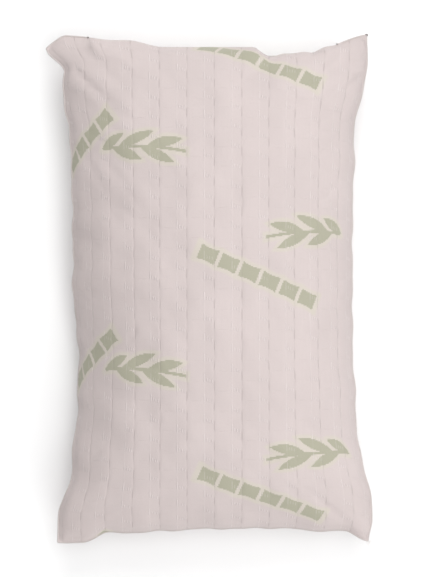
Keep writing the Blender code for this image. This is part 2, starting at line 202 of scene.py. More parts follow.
def right_edge(t):
    head = 0.0026 * ease(0.30, 0.55, t) + 0.018 * ease(0.66, 0.92, t)
    foot = 0.0056 * ease(0.20, 0.57, -t) + 0.022 * ease(0.56, 0.90, -t) - 0.004 * ease(0.92, 1.0, -t)
    wavy = 0.0007 * np.sin(27 * t) + 0.0005 * np.sin(47 * t + 2.0)
    return RIGHT_WAIST + head + foot + wavy


def head_edge(s):
    """Raised corners, and two dents in its right half where the cover is pulled in over the zip."""
    left = 0.0095 * ease(0.36, 0.60, -s) + 0.0070 * ease(0.68, 0.90, -s) - 0.0165 * ease(0.935, 1.0, -s)
    right = 0.0205 * ease(0.74, 1.02, s) + 0.0025 * bump(s, 0.62, 0.05)
    dents = 0.0090 * ease(0.27, 0.36, s) * ease(0.76, 0.66, s) + 0.0045 * bump(s, 0.405, 0.045)
    return HEAD_WAIST + left + right - dents


def foot_edge(s):
    left = 0.0028 * ease(0.10, 0.40, -s) + 0.0025 * ease(0.40, 0.55, -s) + 0.014 * ease(0.72, 0.88, -s)
    right = -0.0014 * ease(0.0, 0.36, s) + 0.0042 * ease(0.50, 0.67, s) + 0.0150 * ease(0.87, 1.0, s)
    wavy = 0.0006 * np.sin(19 * s) + 0.0004 * np.sin(37 * s)
    return -(FOOT_WAIST + left + right + wavy)


def mouth(x, t):
    """1 along the zip's mouth, 0 elsewhere round the seam."""
    return ease(MOUTH_HALF + MOUTH_TAPER, MOUTH_HALF, np.abs(x)) * ease(0.9, 1.0, t)


def seam_height(s, t):
    corner = ease(0.75, 1.0, np.abs(s)) * ease(0.8, 1.0, np.abs(t))
    along = SIDE_SEAM_Z + (ZIP_Z - SIDE_SEAM_Z) * ease(0.7, 1.0, t) * (1 - corner)
    lifted = LEFT_HEAD_TIP_LIFT * ease(0.8, 1.0, -s) * ease(0.85, 1.0, t)
    lifted = lifted - LEFT_FLANK_DROP * bump(t, -0.30, 0.30) * ease(0.6, 1.0, -s)
    ripple = 0.0014 * np.sin(33 * t + 9 * s) + 0.0008 * np.sin(26 * s + 2.0)
    return along + (CORNER_SEAM_Z - SIDE_SEAM_Z) * corner + lifted + ripple * (1 - ease(0.9, 1.0, t))


def shares():
    s = np.linspace(-1, 1, CELLS_ACROSS + 1)
    t = np.linspace(-1, 1, CELLS_ALONG + 1)
    return np.meshgrid(s, t, indexing="ij")


def crown(s, t):
    return np.sqrt(np.clip(1 - np.abs(s) ** 2.4, 0, 1) * np.clip(1 - np.abs(t) ** 3.2, 0, 1))


def near_end(share, reach=EDGE_REACH):
    """How much an edge's shape counts at a share: 1 at share 1, and soon close to 0 away from it."""
    return ((1 + share) / 2) ** reach


def before_inflating(sign):
    """One panel, part filled: sign is 1 for the front and -1 for the back."""
    s, t = shares()
    x = -LEFT_WAIST * (1 - s) / 2 + RIGHT_WAIST * (1 + s) / 2
    x += (left_edge(t) + LEFT_WAIST) * near_end(-s) + (right_edge(t) - RIGHT_WAIST) * near_end(s)
    y = -FOOT_WAIST * (1 - t) / 2 + HEAD_WAIST * (1 + t) / 2
    y += (foot_edge(s) + FOOT_WAIST) * near_end(-t)
    y += (head_edge(s) - HEAD_WAIST) * near_end(t, HEAD_EDGE_REACH)
    z = seam_height(s, t) + sign * (MOUTH_RISE * mouth(x, t) + 0.075 * crown(s, t))
    return np.stack([x, y, z], axis=-1)


def faces_of(index, flipped=False):
    """The four-sided faces between rows and columns of vertex numbers."""
    corners = [index[:-1, :-1], index[1:, :-1], index[1:, 1:], index[:-1, 1:]]
    if flipped:
        corners.reverse()
    return np.stack([c.ravel() for c in corners], axis=-1).tolist()


def inflate(front, back):
    """Both panels after a cloth simulation, which holds their seams and takes lengths from the flat cut."""
    shape = front.shape
    count = shape[0] * shape[1]
    index = np.arange(count).reshape(shape[:2])
    s, t = shares()
    cut = np.stack([s * CUT_WIDTH / 2, t * CUT_LENGTH / 2, np.zeros_like(s)], axis=-1).reshape(-1, 3)
    faces = faces_of(index) + faces_of(index + count, flipped=True)
    mesh = bpy.data.meshes.new("inflating")
    mesh.from_pydata(np.concatenate([front.reshape(-1, 3), back.reshape(-1, 3)]).tolist(), [], faces)
    obj = bpy.data.objects.new("inflating", mesh)
    bpy.context.scene.collection.objects.link(obj)
    obj.shape_key_add(name="filled")
    flat = obj.shape_key_add(name="flat")
    flat.data.foreach_set("co", np.concatenate([cut, cut]).ravel())
    seam = np.flatnonzero((np.abs(s) > 0.9999) | (np.abs(t) > 0.9999))
    held = obj.vertex_groups.new(name="held")
    held.add([int(v) for v in seam] + [int(v) + count for v in seam], 1.0, "REPLACE")
    cloth = obj.modifiers.new("cloth", "CLOTH")
    settings = cloth.settings
    settings.quality = 6
    settings.mass = 0.15
    settings.air_damping = 5
    settings.tension_stiffness = settings.compression_stiffness = 15
    settings.shear_stiffness = 5
    settings.bending_stiffness = 0.08
    settings.tension_damping = settings.compression_damping = settings.shear_damping = 10
    settings.use_pressure = True
    settings.uniform_pressure_force = 9
    settings.vertex_group_mass = "held"
    settings.rest_shape_key = flat
    settings.effector_weights.gravity = 0
    cloth.collision_settings.use_collision = False
    cloth.point_cache.frame_end = LAST_FRAME
    scene = bpy.context.scene
    for number in range(1, LAST_FRAME + 1):
        scene.frame_set(number)
    settled = obj.evaluated_get(bpy.context.evaluated_depsgraph_get()).data
    points = np.empty(len(settled.vertices) * 3)
    settled.vertices.foreach_get("co", points)
    bpy.data.objects.remove(obj)
    scene.frame_set(1)
    points = points.reshape(2, *shape)
    return points[0], points[1]


def soft_floor(z, softness=0.003):
    """Heights pressed flat where the pillow lies on its surface."""
    return softness * np.logaddexp(0.0, z / softness)


def lumps(across, along):
    """The unevenness of the shredded filling: slow waves in several directions."""
    total = np.zeros_like(across)
    for i in range(14):
        angle = 2.39996 * i
        wave = 2 * math.pi / (0.050 + 0.007 * i)
        phase = wave * (across * math.cos(angle) + along * math.sin(angle)) + 1.7 * i
        total += np.sin(phase)
    return total / 14 ** 0.5


def settle(front, back):
    """Scales both panels to the pillow's loft, and presses the back one flat underneath."""
    s, t = shares()
    seam = seam_height(s, t)
    up = (LOFT - SIDE_SEAM_Z) / (front[:, :, 2] - seam).max()
    front[:, :, 2] = seam + (front[:, :, 2] - seam) * up
    back[:, :, 2] = soft_floor(seam + (back[:, :, 2] - seam) * 1.1)
    uneven = lumps(s * CUT_WIDTH / 2, t * CUT_LENGTH / 2)
    inside = np.clip((1 - np.abs(s)) * (1 - np.abs(t)) * 8, 0, 1)
    front[:, :, 2] += 0.0014 * uneven * inside
    return front, back


def resampled(grid, s, t):
    """The grid's surface at these shares, on smooth curves through its points."""
    for axis, share in ((0, s), (1, t)):
        grid = np.moveaxis(grid, axis, 0)
        last = len(grid) - 1
        at = (np.asarray(share) + 1) / 2 * last
        i = np.clip(np.floor(at).astype(int), 0, last - 1)
        f = (at - i).reshape(-1, *[1] * (grid.ndim - 1))
        padded = np.concatenate([2 * grid[:1] - grid[1:2], grid, 2 * grid[-1:] - grid[-2:-1]])
        p, q, r, u = (padded[i + k] for k in range(4))
        curve = q + 0.5 * f * (r - p) + f * f * (p - 2.5 * q + 2 * r - 0.5 * u)
        curve = curve + f ** 3 * (1.5 * (q - r) + 0.5 * (u - p))
        grid = np.moveaxis(curve, 0, axis)
    return grid


def normals(grid):
    across = np.gradient(grid, axis=0)
    along = np.gradient(grid, axis=1)
    n = np.cross(across, along)
    return n / np.maximum(np.linalg.norm(n, axis=-1, keepdims=True), 1e-12)


def measured(grid):
    """How far each grid line, across and along, lies from the middle one, measured on the cloth."""
    found = []
    for axis, band in ((0, slice(20, -20)), (1, slice(14, -14))):
        steps = np.linalg.norm(np.diff(grid, axis=axis), axis=-1)
        steps = (steps[:, band] if axis == 0 else steps[band, :]).mean(axis=1 - axis)
        reached = np.concatenate([[0.0], np.cumsum(steps)])
        found.append(reached - reached[len(reached) // 2])
    return found


def lines_between(reached, period, offsets):
    """Places on the cloth at which a mesh line runs: these offsets from each repeat, and both edges."""
    low, high = reached[0], reached[-1]
    count = int(max(-low, high) / period) + 2
    places = sorted(k * period + offset for k in range(-count, count + 1) for offset in offsets)
    return np.array([low, *[p for p in places if low + 0.0008 < p < high - 0.0008], high])


def blisters(across, along):
    """The height of the knit's brickwork at a place on the cloth."""
    column = np.floor(across / BRICK_WIDTH)
    right = (across / BRICK_WIDTH - column - 1) * BRICK_WIDTH
    from_deep = np.minimum(-right, right + BRICK_WIDTH)
    from_second = np.abs(right + SECOND_GROOVE)
    row = along / BRICK_LENGTH + 0.5 * (column % 2)
    from_level = np.abs(row - np.round(row)) * BRICK_LENGTH
    below = ease(0.1, 0.5, row % 1)
    deep = DEEP * (0.55 + 0.45 * below) * np.exp(-((from_deep / 0.0013) ** 2))
    second = SHALLOW * (1 - 0.6 * below) * np.exp(-((from_second / 0.0012) ** 2))
    level = LEVEL * np.exp(-((from_level / 0.0013) ** 2))
    puff = PUFF * np.sin(np.pi * np.clip(from_deep / BRICK_WIDTH * 2, 0, 1) / 2)
    return puff - deep - second - level


def finished_panel(grid, sign):
    """A panel's points with the knit's relief, and each one's place on the cloth."""
    reached_across, reached_along = measured(grid)
    across = lines_between(reached_across, BRICK_WIDTH, LINES_ACROSS)
    along = lines_between(reached_along, BRICK_LENGTH / 2, LINES_ALONG)
    s = np.interp(across, reached_across, np.linspace(-1, 1, len(reached_across)))
    t = np.interp(along, reached_along, np.linspace(-1, 1, len(reached_along)))
    fine = resampled(grid, s, t)
    across, along = np.meshgrid(across, along, indexing="ij")
    place = np.stack([across, along, np.zeros_like(across)], axis=-1)
    s, t = np.meshgrid(s, t, indexing="ij")
    near_seam = ease(0.0, 0.04, 1 - np.abs(s)) * ease(0.0, 0.03, 1 - np.abs(t))
    fine = fine + sign * normals(fine) * (blisters(across, along) * near_seam)[..., None]
    fine[..., 2] = np.maximum(fine[..., 2], 0.0)
    return fine, place


def hem(points, place, sign):
    """The columns of a panel that have a hem at the zip's mouth, and the hem's rows, folded back inside."""
    edge = points[:, -1]
    columns = np.flatnonzero(np.abs(edge[:, 0]) < MOUTH_HALF + MOUTH_TAPER)
    edge = edge[columns]
    rows, places = [], []
    for k, depth in enumerate((*HEM_DEPTHS, None)):
        row = edge.copy()
        row[:, 1] = HEM_END if depth is None else edge[:, 1] - depth
        row[:, 2] -= sign * 0.0009 * min(1.0, (k + 1) / 2) * mouth(edge[:, 0], 1.0)
        rows.append(row)
        places.append(place[columns, -1] + (0.0, 0.0012 * (k + 1), 0.0))
    return columns, np.stack(rows, axis=1), np.stack(places, axis=1)


def numbered(points):
    """The number of each of a grid's points."""
    return np.arange(points.shape[0] * points.shape[1]).reshape(points.shape[:2])


def new_object(name, points, faces, material):
    mesh = bpy.data.meshes.new(name)
    mesh.from_pydata(points.reshape(-1, 3).tolist(), [], faces)
    mesh.materials.append(material)
    mesh.shade_smooth()
    obj = bpy.data.objects.new(name, mesh)
    bpy.context.scene.collection.objects.link(obj)
    return obj


def mark_cloth(obj, place):
    """Stores each point's place on the cloth, for the knit's pattern."""
    attribute = obj.data.attributes.new("cloth", "FLOAT_VECTOR", "POINT")
    attribute.data.foreach_set("vector", place.reshape(-1).astype(np.float32))


def knit_panel(name, points, place, sign, material):
    index = numbered(points)
    columns, hem_points, hem_place = hem(points, place, sign)
    hem_index = np.concatenate([index[columns, -1:], index.size + numbered(hem_points)], axis=1)
    faces = faces_of(index, sign < 0) + faces_of(hem_index, sign < 0)
    everything = np.concatenate([points.reshape(-1, 3), hem_points.reshape(-1, 3)])
    obj = new_object(name, everything, faces, material)
    mark_cloth(obj, np.concatenate([place.reshape(-1, 3), hem_place.reshape(-1, 3)]))
    return obj


def thicken(obj, thickness):
    made = obj.modifiers.new("thickness", "SOLIDIFY")
    made.thickness = thickness
    made.offset = -1
    return obj


# Patterns written as formulas, which become a material's nodes.


class Value:
    """A number or vector that a material's nodes work out at each point."""

    def __init__(self, tree, socket):
        self.tree = tree
        self.socket = socket

    def math(self, operation, *others, clamp=False):
        node = self.tree.nodes.new("ShaderNodeMath")
        node.operation = operation
        node.use_clamp = clamp
        for target, value in zip(node.inputs, (self, *others)):
            if isinstance(value, Value):
                self.tree.links.new(value.socket, target)
            else:
                target.default_value = value
        return Value(self.tree, node.outputs[0])

    def __add__(self, other):
        return self.math("ADD", other)

    def __sub__(self, other):
        return self.math("SUBTRACT", other)

    def __mul__(self, other):
        return self.math("MULTIPLY", other)

    def __truediv__(self, other):
        return self.math("DIVIDE", other)

    def wrapped(self, low, high):
        return self.math("WRAP", high, low)

    def below(self, edge, blur):
        """1 where this is under the edge, 0 over it, with a soft step between."""
        node = self.tree.nodes.new("ShaderNodeMapRange")
        node.interpolation_type = "SMOOTHSTEP"
        self.tree.links.new(self.socket, node.inputs["Value"])
        node.inputs["From Min"].default_value = edge - blur
        node.inputs["From Max"].default_value = edge + blur
        node.inputs["To Min"].default_value = 1.0
        node.inputs["To Max"].default_value = 0.0
        return Value(self.tree, node.outputs["Result"])


def smallest(values):
    total = values[0]
    for value in values[1:]:
        total = total.math("MINIMUM", value)
    return total


def new_material(name, colour, roughness, metallic=0.0):
    made = bpy.data.materials.new(name)
    made.use_nodes = True
    shader = made.node_tree.nodes["Principled BSDF"]
    shader.inputs["Base Color"].default_value = (*colour, 1.0)
    shader.inputs["Roughness"].default_value = roughness
    shader.inputs["Metallic"].default_value = metallic
    return made, made.node_tree, shader


def place_on_cloth(tree):
    node = tree.nodes.new("ShaderNodeAttribute")
    node.attribute_name = "cloth"
    split = tree.nodes.new("ShaderNodeSeparateXYZ")
    tree.links.new(node.outputs["Vector"], split.inputs[0])
    return Value(tree, split.outputs[0]), Value(tree, split.outputs[1])


def object_place(tree):
    node = tree.nodes.new("ShaderNodeTexCoord")
    split = tree.nodes.new("ShaderNodeSeparateXYZ")
    tree.links.new(node.outputs["Object"], split.inputs[0])
    return [Value(tree, out) for out in split.outputs]


def noise(tree, scale, detail=2.0, stretch=(1, 1, 1), attribute=None):
    texture = tree.nodes.new("ShaderNodeTexNoise")
    texture.inputs["Scale"].default_value = scale
    texture.inputs["Detail"].default_value = detail
    mapping = tree.nodes.new("ShaderNodeMapping")
    mapping.inputs["Scale"].default_value = stretch
    if attribute:
        source = tree.nodes.new("ShaderNodeAttribute")
        source.attribute_name = attribute
        tree.links.new(source.outputs["Vector"], mapping.inputs["Vector"])
    else:
        source = tree.nodes.new("ShaderNodeTexCoord")
        tree.links.new(source.outputs["Object"], mapping.inputs["Vector"])
    tree.links.new(mapping.outputs[0], texture.inputs["Vector"])
    return Value(tree, texture.outputs["Fac"])


def mix(tree, share, low, high):
    """A colour between two colours, each a tuple or a socket."""
    node = tree.nodes.new("ShaderNodeMix")
    node.data_type = "RGBA"
    tree.links.new(share.socket, node.inputs["Factor"])
    for name, value in (("A", low), ("B", high)):
        target = next(i for i in node.inputs if i.name == name and i.type == "RGBA")
        if isinstance(value, tuple):
            target.default_value = (*value, 1.0)
        else:
            tree.links.new(value, target)
    return next(o for o in node.outputs if o.type == "RGBA")


def emboss(tree, shader, height, distance):
    """Raises the surface by this height, from 0 to 1, times the distance."""
    node = tree.nodes.new("ShaderNodeBump")
    node.inputs["Strength"].default_value = 1.0
    node.inputs["Distance"].default_value = distance
    tree.links.new(height.socket, node.inputs["Height"])
    tree.links.new(node.outputs[0], shader.inputs["Normal"])


def turned(u, v, place):
    """Distances along and across from a place, in the direction of its slant."""
    x, y, degrees = place
    c, s = math.cos(math.radians(degrees)), math.sin(math.radians(degrees))
    u, v = u - x, v - y
    return u * c + v * s, v * c - u * s


def cane(u, v):
    """How far a point lies outside a row of cane joints, each a little wider at its ends."""
    half_row = CANE_JOINTS * CANE_PITCH / 2
    joint = (u + CANE_PITCH / 2 * (CANE_JOINTS % 2)).wrapped(0.0, CANE_PITCH) - CANE_PITCH / 2
    end = joint / (CANE_PITCH / 2)
    side = v.math("ABSOLUTE") - (end * end) * 0.0022 - (CANE_HALF_WIDTH - 0.0022)
    gap = joint.math("ABSOLUTE") - (CANE_PITCH / 2 - 0.0026)
    row = u.math("ABSOLUTE") - half_row
    return side.math("MAXIMUM", gap).math("MAXIMUM", row)


def leaf(u, v, x, y, degrees, length, width):
    along, off = turned(u, v, (x, y, degrees))
    share = along / (length / 2)
    return off.math("ABSOLUTE") + share * share * (width / 2) - width / 2


def twig(u, v):
    """How far a point lies outside a bent twig with pointed leaves on both sides."""
    stem = v + (u * u) * 1.3
    shapes = [(stem.math("ABSOLUTE") - 0.0020).math("MAXIMUM", u.math("ABSOLUTE") - 0.060)]
    for x, y, degrees, length in (
        (-0.030, 0.0085, 162, 0.052),
        (0.010, 0.0110, 156, 0.056),
        (0.045, 0.0090, 152, 0.040),
        (-0.022, -0.0100, -162, 0.050),
        (0.022, -0.0090, -158, 0.048),
    ):
        shapes.append(leaf(u, stem, x, y, degrees, length, 0.0135))
    return smallest(shapes)


def motif_distance(u, v):
    """How far a point of the cloth lies outside the nearest motif."""
    found = []
    for shape, place, mirrored in (
        (cane, CANE_PLACE, False),
        (twig, TWIG_PLACE, False),
        (cane, MIRRORED_CANE_PLACE, True),
        (twig, MIRRORED_TWIG_PLACE, True),
    ):
        x, y, degrees = place
        repeated = (v - y).wrapped(-MOTIF_REPEAT / 2, MOTIF_REPEAT / 2)
        along, off = turned(u, repeated, (x, 0.0, degrees))
        if mirrored:
            along = along * -1.0
        found.append(shape(along, off))
    return smallest(found)


def in_stitches(value, size):
    """The middle of the knitted stitch that a point is in."""
    return (value / size).math("FLOOR") * size + size / 2


def ribs(u, v):
    """The knit's fine relief: its grooves, and the combs at the bricks' corners, each from 0 to 1."""
    column = u / BRICK_WIDTH
    odd = column.math("FLOOR").math("FLOORED_MODULO", 2.0)
    right = (column.math("FRACT") - 1.0) * BRICK_WIDTH
    row = (v / BRICK_LENGTH + odd * 0.5).math("FRACT") * BRICK_LENGTH
    to_level = (row - BRICK_LENGTH / 2).math("ABSOLUTE") * -1.0 + BRICK_LENGTH / 2
    signed = (row + BRICK_LENGTH / 2).math("FLOORED_MODULO", BRICK_LENGTH) - BRICK_LENGTH / 2
    deep = (right + 0.0007).math("ABSOLUTE").below(0.0006, 0.0005)
    above = signed.below(-0.001, 0.002)
    deep_part = above * signed.math("GREATER_THAN", -0.0125)
    second = (right + SECOND_GROOVE).math("ABSOLUTE").below(0.0006, 0.0005)
    second_part = signed.math("GREATER_THAN", -0.001) * signed.below(0.0095, 0.001)
    level = to_level.below(0.0004, 0.0004) * right.below(-0.019, 0.0015)
    level = level * right.math("GREATER_THAN", -0.031)
    grooves = deep * (deep_part * 0.6 + 0.4)
    grooves = grooves.math("MAXIMUM", level * 0.25)
    pitch = SECOND_GROOVE / (COMB_TEETH + 1)
    tooth = right / pitch
    number = (tooth + 0.5).math("FLOOR")
    rib = (tooth - number).math("ABSOLUTE").below(0.16, 0.10)
    middle = number * -COMB_STEP - 0.0012
    length = (signed - middle).math("ABSOLUTE").below(COMB_RIB / 2, 0.0006)
    inside = number.math("GREATER_THAN", -COMB_TEETH - 0.5) * number.below(-0.5, 0.1)
    comb = rib * length * inside
    return grooves, comb.math("MAXIMUM", second * (second_part * 0.75 + 0.25))


def knit_material():
    made, tree, shader = new_material("cover_knit_jacquard", KNIT, 0.92)
    shader.inputs["Sheen Weight"].default_value = 0.12
    shader.inputs["Sheen Roughness"].default_value = 0.5
    shader.inputs["Specular IOR Level"].default_value = 0.15
    u, v = place_on_cloth(tree)
    distance = motif_distance(in_stitches(u, STITCH), in_stitches(v, STITCH))
    green = distance.below(0.0, 0.0002)
    cream = distance.below(HALO, 0.0025)
    grooves, raised = ribs(u, v)
    plain = green * -0.6 + 1.0
    cloudy = noise(tree, 11.0, attribute="cloth")
    streaky = noise(tree, 60.0, 2.0, (6, 0.5, 1), attribute="cloth")
    yarn = noise(tree, 900.0, 1.0, (1, 0.45, 1), attribute="cloth")
    ground = mix(tree, cloudy.below(0.5, 0.22), KNIT, KNIT_SHADE)
    ground = mix(tree, streaky.below(0.5, 0.2) * 0.35, ground, KNIT_SHADE)
    ground = mix(tree, cream * 0.7, ground, MOTIF_CREAM)
    ground = mix(tree, green * 0.96, ground, MOTIF_GREEN)
    # Painted shade darkens the grooves, and a painted highlight lightens the combs' ribs and the shallow
    # grooves.
    ground = mix(tree, grooves * plain * 0.30, ground, PAINTED_SHADE_AND_YARN_TONE)
    ground = mix(tree, raised * plain * 0.45, ground, KNIT_PAINTED_HIGHLIGHT)
    ground = mix(tree, yarn.below(0.42, 0.12) * 0.07, ground, PAINTED_SHADE_AND_YARN_TONE)
    tree.links.new(ground, shader.inputs["Base Color"])
    wale = ((u / STITCH).math("FRACT") - 0.5).math("ABSOLUTE")
    course = ((v / STITCH + wale * 0.8).math("FRACT") - 0.5).math("ABSOLUTE")
    height = raised * plain * 0.55 - grooves * plain * 0.6 + wale * course * 0.4
    height = height + yarn * 0.12 - green * 0.12
    emboss(tree, shader, height, 0.0008)
    return made


def woven_material(name, colour, dark, thread=0.0006, roughness=0.85):
    """Plain cloth of crossing threads, placed by the object's own X and Z or X and Y."""
    made, tree, shader = new_material(name, colour, roughness)
    shader.inputs["Sheen Weight"].default_value = 0.15
    x, y, z = object_place(tree)
    across = (x / thread).math("FRACT") - 0.5
    along = ((y + z) / thread).math("FRACT") - 0.5
    weave = across.math("ABSOLUTE") * along.math("ABSOLUTE") * 4.0
    uneven = noise(tree, 60.0)
    tone = mix(tree, weave * 0.7 + uneven * 0.2, colour, dark)
    tree.links.new(tone, shader.inputs["Base Color"])
    emboss(tree, shader, weave * -1.0 + uneven * 0.3, 0.0002)
    return made


def thread_material(name, colour, dark):
    made, tree, shader = new_material(name, colour, 0.75)
    shader.inputs["Sheen Weight"].default_value = 0.2
    x, y, z = object_place(tree)
    ply = ((x + y + z * 0.5) / 0.0009).math("FRACT").math("PINGPONG", 0.5)
    tree.links.new(mix(tree, ply * 1.2, colour, dark), shader.inputs["Base Color"])
    emboss(tree, shader, ply, 0.0001)
    return made


def foam_material():
    made, tree, shader = new_material("shredded_foam", (0.86, 0.80, 0.62), 0.95)
    crumbs = tree.nodes.new("ShaderNodeTexVoronoi")
    crumbs.inputs["Scale"].default_value = 90.0
    cells = Value(tree, crumbs.outputs["Distance"])
    tone = mix(tree, cells * 1.4, (0.88, 0.83, 0.68), (0.62, 0.54, 0.36))
    tree.links.new(tone, shader.inputs["Base Color"])
    emboss(tree, shader, cells * -1.0 + noise(tree, 500.0) * 0.2, 0.004)
    return made


def metal_material():
    made, tree, shader = new_material("zip_metal", (0.52, 0.51, 0.50), 0.34, 1.0)
    worn = noise(tree, 700.0, 4.0, (1, 1, 6))
    tree.links.new(mix(tree, worn, (0.42, 0.41, 0.40), (0.62, 0.61, 0.60)), shader.inputs["Base Color"])
    rough = worn * 0.25 + 0.24
    tree.links.new(rough.socket, shader.inputs["Roughness"])
    emboss(tree, shader, worn, 0.00005)
    return made


def nylon_material():
    made, tree, shader = new_material("zip_nylon", (0.80, 0.78, 0.75), 0.4)
    tone = mix(tree, noise(tree, 400.0), (0.84, 0.82, 0.79), (0.70, 0.68, 0.65))
    tree.links.new(tone, shader.inputs["Base Color"])
    return made


# Pieces made of thread: lines with a round section.


def strand(name, lines, radius, material, body="pillow", resolution=1):
    """One piece made of any number of threads, each a list of points."""
    curve = bpy.data.curves.new(name, "CURVE")
    curve.dimensions = "3D"
    for points in lines:
        spline = curve.splines.new("POLY")
        spline.points.add(len(points) - 1)
        flat = np.concatenate([np.asarray(points), np.ones((len(points), 1))], axis=1)
        spline.points.foreach_set("co", flat.ravel().astype(np.float32))
    curve.bevel_depth = radius
    curve.bevel_resolution = resolution
    curve.use_fill_caps = True
    curve.materials.append(material)
    obj = bpy.data.objects.new(name, curve)
    bpy.context.scene.collection.objects.link(obj)
    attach(obj, body)
    return obj


def evenly(points, step):
    """Points at even steps along a line, and the direction of the line at each."""
    points = np.asarray(points)
    lengths = np.linalg.norm(np.diff(points, axis=0), axis=1)
    reached = np.concatenate([[0.0], np.cumsum(lengths)])
    stops = np.linspace(0, reached[-1], max(2, int(reached[-1] / step)))
    even = np.stack([np.interp(stops, reached, points[:, k]) for k in range(3)], axis=1)
    ahead = np.gradient(even, axis=0)
    return even, ahead / np.linalg.norm(ahead, axis=1, keepdims=True)


def wound(points, radius, pitch, per_turn=6):
    """A thread wound round a line."""
    even, ahead = evenly(points, pitch / per_turn)
    up = np.array([0.0, 0.0, 1.0])
    side = np.cross(ahead, up)
    side /= np.linalg.norm(side, axis=1, keepdims=True)
    rise = np.cross(side, ahead)
    angle = 2 * math.pi * np.arange(len(even)) / per_turn
    return even + radius * (side * np.cos(angle)[:, None] + rise * np.sin(angle)[:, None])


def seam_lines(front, back):
    """The cover's five stretches of seam, by the name of the CAD piece, between its two panels."""
    middle = resampled((front + back) / 2, np.linspace(-1, 1, 300), np.linspace(-1, 1, 450))
    head_x = middle[:, -1, 0]
    return {
        "cover_seam_left": middle[0, :],
        "cover_seam_right": middle[-1, :],
        "cover_seam_foot": middle[:, 0],
        "cover_seam_head_left": middle[head_x < -SEAM_START, -1],
        "cover_seam_head_right": middle[head_x > SEAM_START, -1],
    }


def make_seams(front, back, edge_cloth, overlock):
    for name, line in seam_lines(front, back).items():
        ridge = strand(name + "_ridge", [evenly(line, 0.003)[0]], RIDGE_RADIUS, edge_cloth, resolution=2)
        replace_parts(ridge, name)
        turns = wound(line, OVERLOCK_RADIUS, OVERLOCK_PITCH)
        strand(name + "_overlock", [turns], OVERLOCK_THREAD, overlock, resolution=0)


def make_knot(tip, thread):
    """The knotted tail of the overlock chain, at the head's right corner."""
    angle = np.linspace(0, 2 * math.pi, 60)
    ring = 0.0011 + 0.0006 * np.cos(3 * angle)
    x, y = ring * np.cos(2 * angle), ring * np.sin(2 * angle)
    knot = np.stack([x, y, 0.0009 * np.sin(3 * angle)], axis=1)
    strand("corner_knot", [knot + tip], 0.00045, thread, resolution=2)


def make_frayed_tip(tip, direction, thread):
    """Short loose yarns where the overlocking ends at the foot's right corner."""
    yarns = []
    for k in range(7):
        spread = (k - 3) * 0.35
        c, s = math.cos(spread), math.sin(spread)
        x, y = direction[0] * c - direction[1] * s, direction[0] * s + direction[1] * c
        turn = np.array([x, y, 0.1 * (k % 3 - 1)])
        along = np.linspace(-0.001, 0.0045 + 0.0012 * (k % 3), 8)[:, None]
        curl = 0.0006 * np.sin(along * 900 + k) * np.array([turn[1], -turn[0], 0.6])
        yarns.append(tip + along * turn + curl)
    strand("corner_fray", yarns, 0.00018, thread, resolution=1)


def dashes(line, stitch, gap, dip):
    """Stitches along a line: each one dips into the cloth at its ends."""
    even, _ = evenly(line, (stitch + gap) / 6)
    made = []
    for k in range(0, len(even) - 6, 6):
        run = even[k : k + 5].copy()
        run[0] -= dip[min(k, len(dip) - 1)]
        run[-1] -= dip[min(k, len(dip) - 1)]
        made.append(run)
    return made


def topstitch(name, points, place, sign, thread):
    """The line of stitches that holds a folded edge of the mouth to its tape."""
    row = np.argmin(np.abs(place[0, :, 1] - (place[0, -1, 1] - TOPSTITCH_INSET)))
    columns = np.abs(points[:, -1, 0]) < MOUTH_HALF
    raised = points[:, row] + sign * normals(points)[:, row] * 0.0002
    line = raised[columns]
    inward = np.tile(np.array([0.0, 0.0006, 0.0]), (len(line), 1))
    stitches = dashes(line, TOPSTITCH_LENGTH, TOPSTITCH_GAP, inward)
    obj = strand(name + "_topstitch", stitches, TOPSTITCH_THREAD, thread, resolution=1)
    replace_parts(obj, name)


def make_bartacks(front, thread):
    """Close zigzags across the two ends of the mouth."""
    edge = front[:, -1]
    count = 20
    for name, side in (("zip_bartack_left", -1), ("zip_bartack_right", 1)):
        x = side * SEAM_START
        y = np.interp(x, edge[:, 0], edge[:, 1]) + 0.0006
        z = ZIP_Z + np.linspace(-1, 1, count) * BARTACK_HALF
        x = x + 0.0011 * np.where(np.arange(count) % 2, 1, -1)
        zigzag = np.stack([x, np.full(count, y), z], axis=1)
        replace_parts(strand(name + "_zigzag", [zigzag], 0.00030, thread), name)


# The zip.


def make_tapes(cloth):
    """Two ribbed tapes, side by side where the chain ends and apart along it."""
    chain_low, chain_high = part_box("zip_chain_upper")
    slider_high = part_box("zip_slider_body")[1]
    left, right = chain_low.x, max(chain_high.x, slider_high.x - 0.003)
    end = MOUTH_HALF + MOUTH_TAPER
    for name in ("zip_tape_upper", "zip_tape_lower"):
        low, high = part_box(name)
        x, z = np.meshgrid(np.linspace(-end, end, 240), np.linspace(low.z, high.z, 12), indexing="ij")
        near, far = (low.z, high.z) if low.z > ZIP_Z else (high.z, low.z)
        past = ease(0.0, 0.0035, np.maximum(x - right, left - x))
        z += past * (ZIP_Z - near) * (far - z) / (far - near)
        z = ZIP_Z + (z - ZIP_Z) * (1 - 0.55 * ease(high.x - 0.002, end, np.abs(x)))
        ribs_along = np.arange(12) % 2
        y = high.y - 0.00012 * ribs_along[None, :] * np.ones_like(x)
        points = np.stack([x, y, z], axis=-1)
        obj = new_object(name + "_woven", points, faces_of(numbered(points), flipped=True), cloth)
        thicken(obj, TAPE_CLOTH)
        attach(obj, "pillow")
        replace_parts(obj, name)


